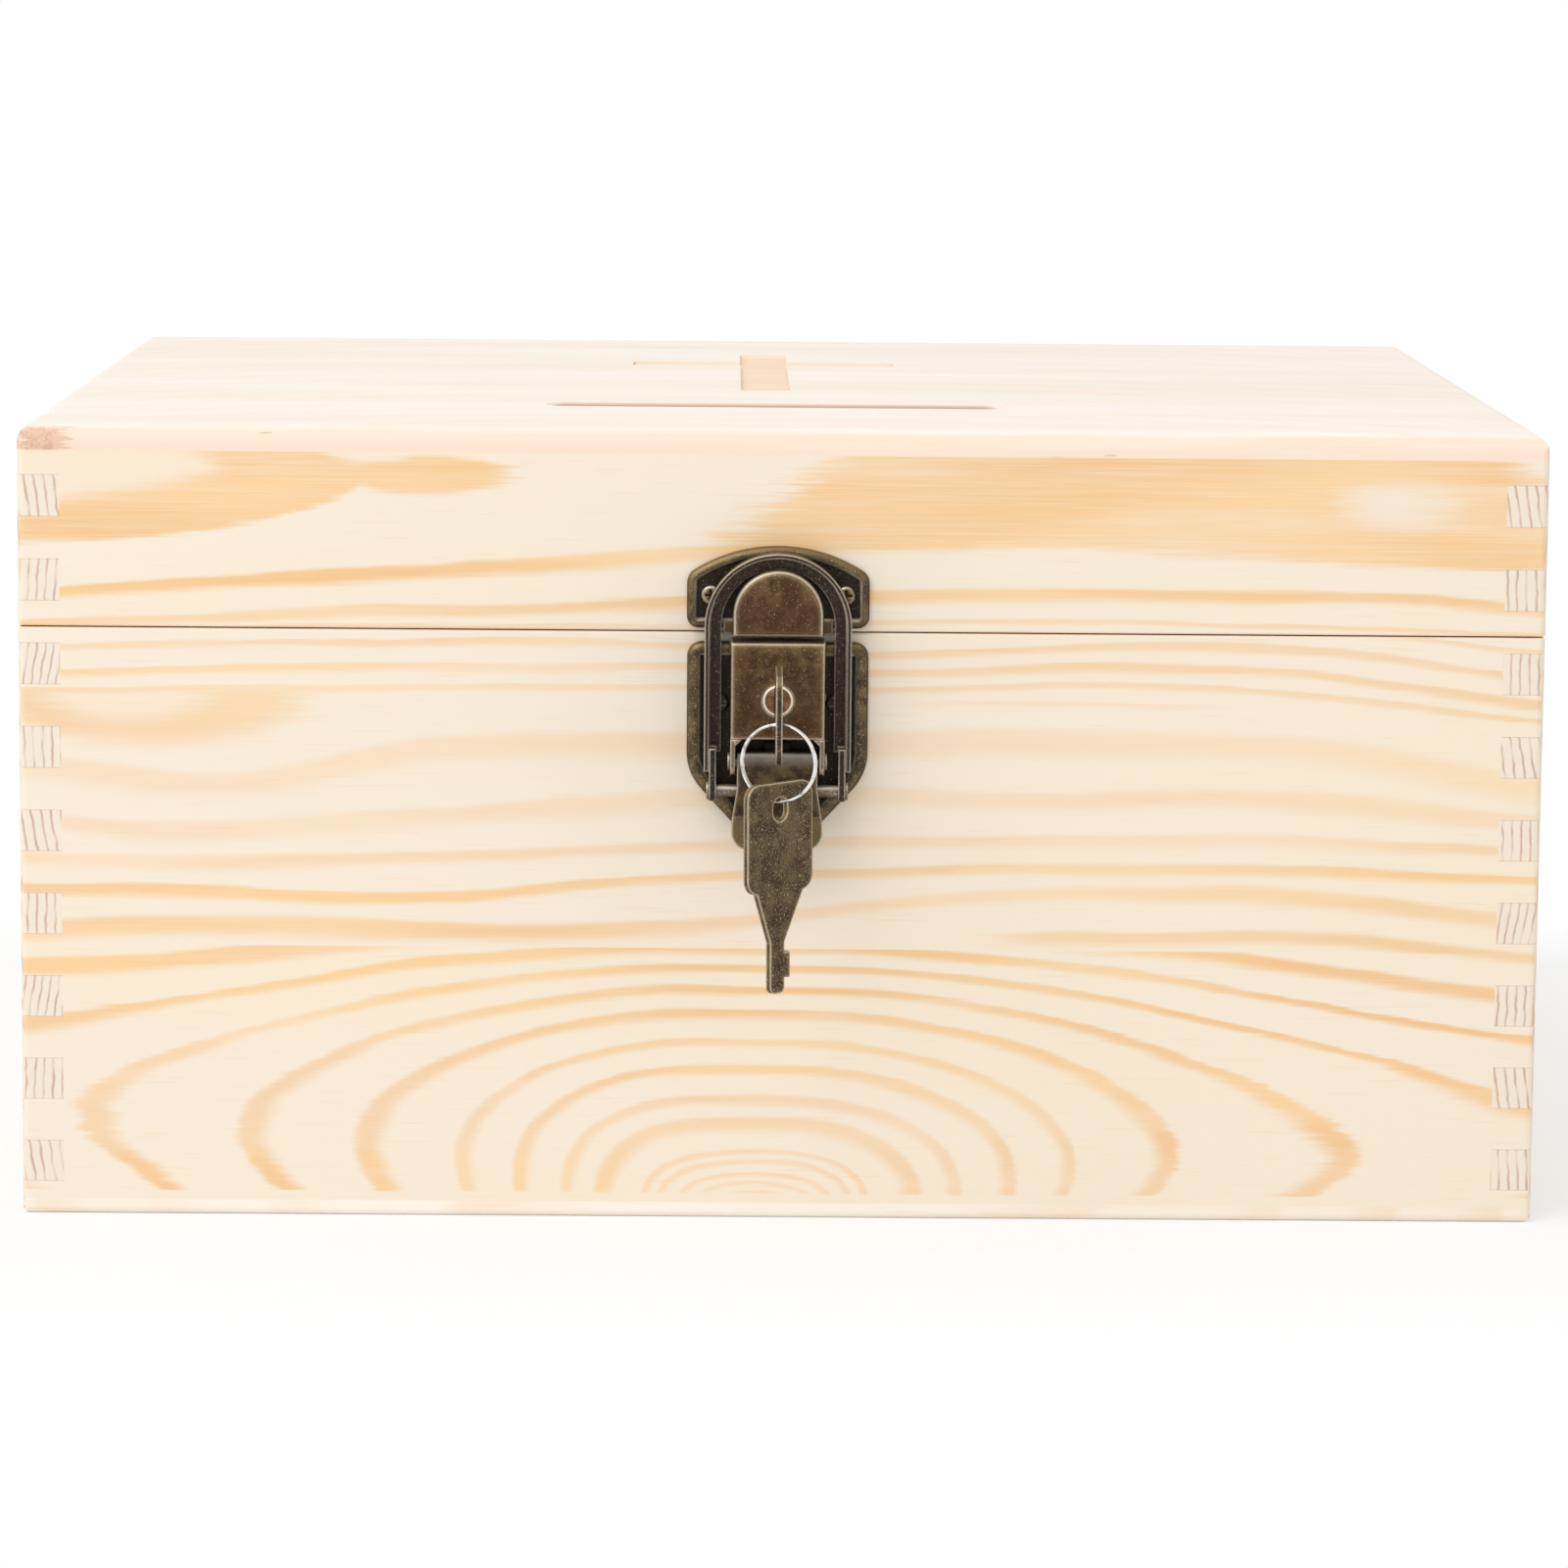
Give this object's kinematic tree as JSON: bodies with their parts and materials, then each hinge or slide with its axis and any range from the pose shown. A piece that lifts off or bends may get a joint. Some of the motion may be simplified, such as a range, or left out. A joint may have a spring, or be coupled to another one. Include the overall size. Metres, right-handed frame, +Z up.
{
  "type": "ballot box",
  "caption": "Finger-jointed pine ballot box with a hinged lid, paper slot, shallow cross and a locking draw latch with keys.",
  "frame": {"origin": "centre of the box's footprint, on its underside", "axes": "+Z up, -Y towards the latched front, +X to the viewer's right as seen from the front"},
  "size_m": [0.29, 0.2965, 0.152],
  "materials": {
    "case_pine": "bare sanded pine",
    "lid_pine": "bare sanded pine",
    "latch_bronze": "antique bronze plate, worn at the edges",
    "hinge_bronze": "antique bronze plate",
    "screw_bronze": "antique bronze plate",
    "key_bronze": "antique bronze plate, worn at the edges",
    "plug_bronze": "bronze, bright rim",
    "pin_steel": "dull plated steel",
    "ring_chrome": "bright plated wire"
  },
  "bodies": {
    "case": {"base_panel": "case_pine", "front_board_lower": "case_pine", "front_board_upper": "case_pine", "body_back_panel": "case_pine", "body_left_panel": "case_pine", "body_right_panel": "case_pine", "hinge_body_leaf_left": "hinge_bronze", "hinge_body_leaf_right": "hinge_bronze", "hinge_pin_left": "hinge_bronze", "hinge_pin_right": "hinge_bronze", "hinge_body_screws": "screw_bronze", "latch_base_plate": "latch_bronze", "latch_base_screws": "screw_bronze", "lock_housing": "latch_bronze", "lever_pivot_pin": "pin_steel"},
    "lid": {"lid_top_panel": "lid_pine", "lid_front_rail": "lid_pine", "lid_back_rail": "lid_pine", "lid_left_rail": "lid_pine", "lid_right_rail": "lid_pine", "hinge_lid_leaf_left": "hinge_bronze", "hinge_lid_leaf_right": "hinge_bronze", "hinge_lid_screws": "screw_bronze", "strike_plate": "latch_bronze", "strike_hook": "latch_bronze", "strike_screws": "screw_bronze"},
    "lever": {"thumb_lever": "latch_bronze", "bail_pin": "pin_steel"},
    "bail": {"bail_loop": "latch_bronze"},
    "lock_barrel": {"lock_plug": "plug_bronze", "lock_cam": "pin_steel", "key_in_lock": "key_bronze"},
    "ring": {"key_ring": "ring_chrome"},
    "spare": {"spare_key": "key_bronze"}
  },
  "joints": [
    {"name": "lid_hinge", "type": "hinge", "parent": "case", "child": "lid", "pos_m": [0, 0.1273, 0.1135], "axis": [-1, 0, 0], "range_deg": [0, 105]},
    {"name": "lever_flip", "type": "hinge", "parent": "case", "child": "lever", "pos_m": [-0.0009, -0.1304, 0.0893], "axis": [-1, 0, 0], "range_deg": [0, 90]},
    {"name": "bail_swing", "type": "hinge", "parent": "lever", "child": "bail", "pos_m": [-0.0009, -0.1298, 0.0837], "axis": [1, 0, 0], "range_deg": [0, 90]},
    {"name": "key_turn", "type": "hinge", "parent": "case", "child": "lock_barrel", "pos_m": [-0.0009, -0.125, 0.1015], "axis": [0, 1, 0], "range_deg": [0, 90]},
    {"name": "ring_swing", "type": "hinge", "parent": "lock_barrel", "child": "ring", "pos_m": [-0.0009, -0.161, 0.10037], "axis": [-0.342, -0.9397, 0], "range_deg": [-12, 12]},
    {"name": "spare_key_swing", "type": "hinge", "parent": "ring", "child": "spare", "pos_m": [-0.0009, -0.161, 0.08627], "axis": [0.9397, -0.342, 0], "range_deg": [-12, 12]}
  ],
  "couplings": [
    {"joint": "bail_swing", "follows": "lever_flip", "ratio": 1}
  ]
}
